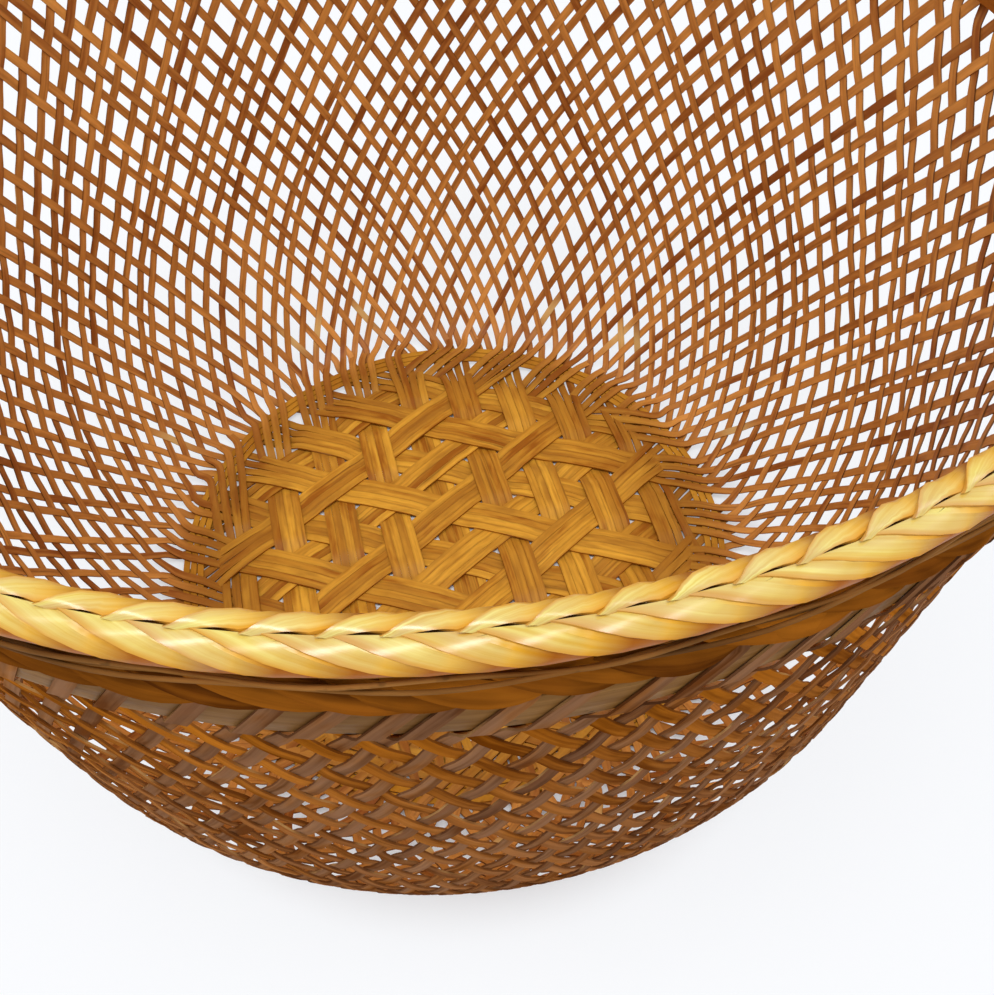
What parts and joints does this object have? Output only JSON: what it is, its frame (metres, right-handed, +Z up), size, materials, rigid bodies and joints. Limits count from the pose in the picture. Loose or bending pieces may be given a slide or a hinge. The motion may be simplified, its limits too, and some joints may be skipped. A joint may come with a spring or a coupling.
{
  "type": "bamboo basket",
  "caption": "Round open bamboo basket with a three-way woven base, a diagonal lattice wall, flat hoops, a braided border and a golden wrapped rim.",
  "frame": {"origin": "centre of the base, on the surface that the basket stands on", "axes": "+Z up through the open mouth; +X and +Y lie in the plane of the base, and the picture looks along +Y from above"},
  "size_m": [0.3292, 0.3292, 0.2191],
  "materials": {
    "base_bamboo": "satin",
    "wall_bamboo": "satin",
    "hoop_bamboo": "satin",
    "border_bamboo": "satin",
    "core_bamboo": "matte",
    "rim_bamboo": "gloss"
  },
  "bodies": {
    "root": {"base_strip_a_1": "base_bamboo", "base_strip_a_2": "base_bamboo", "base_strip_a_3": "base_bamboo", "base_strip_a_4": "base_bamboo", "base_strip_a_5": "base_bamboo", "base_strip_a_6": "base_bamboo", "base_strip_a_7": "base_bamboo", "base_strip_a_8": "base_bamboo", "base_strip_a_9": "base_bamboo", "base_strip_b_1": "base_bamboo", "base_strip_b_2": "base_bamboo", "base_strip_b_3": "base_bamboo", "base_strip_b_4": "base_bamboo", "base_strip_b_5": "base_bamboo", "base_strip_b_6": "base_bamboo", "base_strip_b_7": "base_bamboo", "base_strip_b_8": "base_bamboo", "base_strip_b_9": "base_bamboo", "base_strip_c_1": "base_bamboo", "base_strip_c_2": "base_bamboo", "base_strip_c_3": "base_bamboo", "base_strip_c_4": "base_bamboo", "base_strip_c_5": "base_bamboo", "base_strip_c_6": "base_bamboo", "base_strip_c_7": "base_bamboo", "base_strip_c_8": "base_bamboo", "base_strip_c_9": "base_bamboo", "base_ring": "base_bamboo", "woven_wall": "wall_bamboo", "outer_hoop": "hoop_bamboo", "inner_hoop": "hoop_bamboo", "border_braid": "border_bamboo", "rim_core": "core_bamboo", "rim_wrap": "rim_bamboo"}
  },
  "joints": []
}
